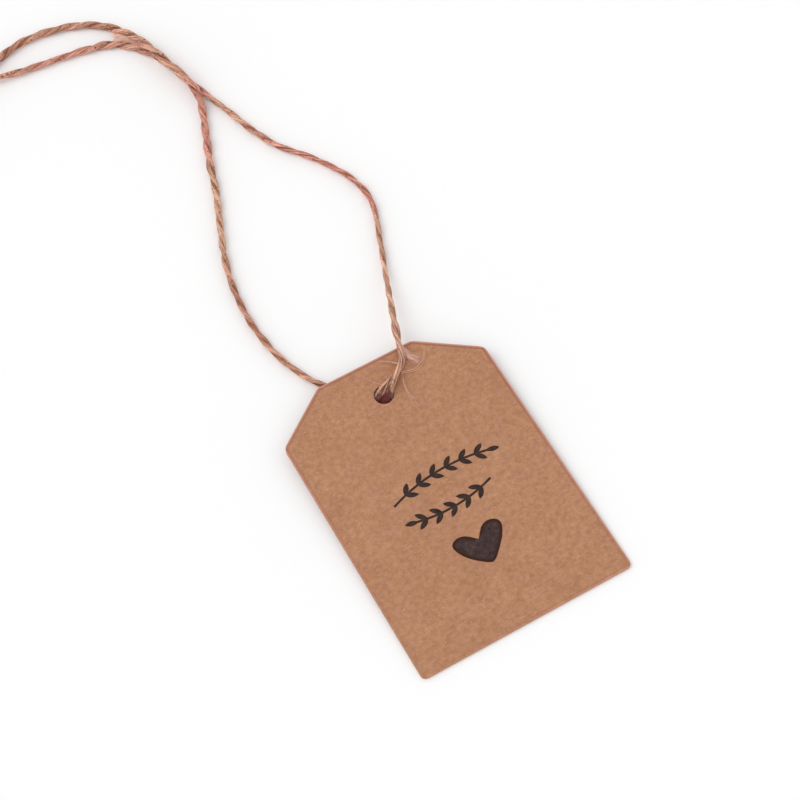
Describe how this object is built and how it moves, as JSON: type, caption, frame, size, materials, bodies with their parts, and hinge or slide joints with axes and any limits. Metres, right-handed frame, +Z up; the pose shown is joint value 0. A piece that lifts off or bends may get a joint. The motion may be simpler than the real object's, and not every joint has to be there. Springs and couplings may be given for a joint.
{
  "type": "gift tag",
  "caption": "Kraft card gift tag with sloping shoulders, a printed heart and leaf sprigs, on a knotted loop of jute twine through its punched hole; the card swings on the loop.",
  "frame": {"origin": "on the table under the middle of the card, measured without the twine", "axes": "+X to the right across the card's face, +Y up the card from its foot to its punched hole, +Z up from the table, out of the printed face"},
  "size_m": [0.0924, 0.1994, 0.0064],
  "materials": {
    "kraft_board": "matte, fine fibre mottling",
    "heart_ink": "matte charcoal ink",
    "sprig_ink": "matte brown-black ink",
    "jute": "matte, twisted and slightly hairy"
  },
  "bodies": {
    "twine": {"front_strand": "jute", "back_strand": "jute", "knot": "jute", "front_tail": "jute", "back_tail": "jute"},
    "card": {"card": "kraft_board", "heart_print": "heart_ink", "upper_sprig_print": "sprig_ink", "lower_sprig_print": "sprig_ink"}
  },
  "joints": [
    {"name": "card_swing", "type": "hinge", "parent": "twine", "child": "card", "pos_m": [0, 0.02619, 0.00207], "axis": [0, 0, 1], "range_deg": [-40, 40]}
  ]
}
